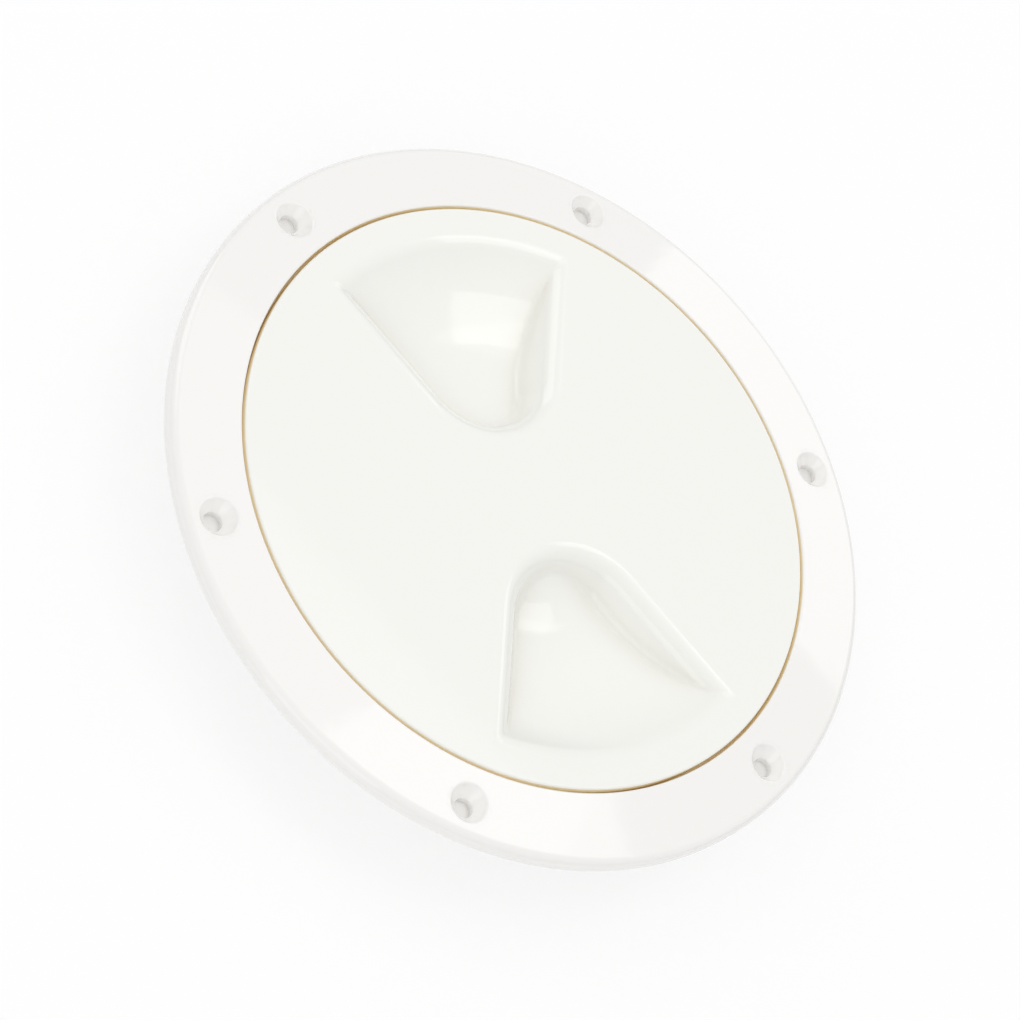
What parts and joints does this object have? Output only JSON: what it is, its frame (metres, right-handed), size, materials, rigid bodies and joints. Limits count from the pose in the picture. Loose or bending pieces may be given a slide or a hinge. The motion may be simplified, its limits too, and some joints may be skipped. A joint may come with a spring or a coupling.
{
  "type": "access plate",
  "caption": "Round screw-in deck access plate: countersunk flange ring with a threaded collar, and a sealed screw lid with opposed fan-shaped finger wells.",
  "frame": {"origin": "centre of the screw circle on the flange's underside, the face that lies on the deck", "axes": "+Z out of the deck along the lid's screw axis, +X through the centre of a screw hole"},
  "size_m": [0.204, 0.204, 0.0248],
  "materials": {
    "ring_plastic": "polished moulded white plastic",
    "lid_plastic": "polished moulded white plastic",
    "seal_rubber": "smooth cream-coloured moulded rubber cord"
  },
  "bodies": {
    "ring": {"deck_ring": "ring_plastic"},
    "seal": {"o_ring": "seal_rubber"},
    "lid": {"screw_lid": "lid_plastic"}
  },
  "joints": [
    {"name": "lid_lift", "type": "slide", "parent": "ring", "child": "seal", "axis": [0, 0, 1], "range_m": [0, 0.024]},
    {"name": "lid_turn", "type": "hinge", "parent": "seal", "child": "lid", "pos_m": [0, 0, 0], "axis": [0, 0, 1], "range_deg": [0, 1440]}
  ],
  "couplings": [
    {"joint": "lid_lift", "follows": "lid_turn", "m_per_rad": 0.00095493}
  ]
}
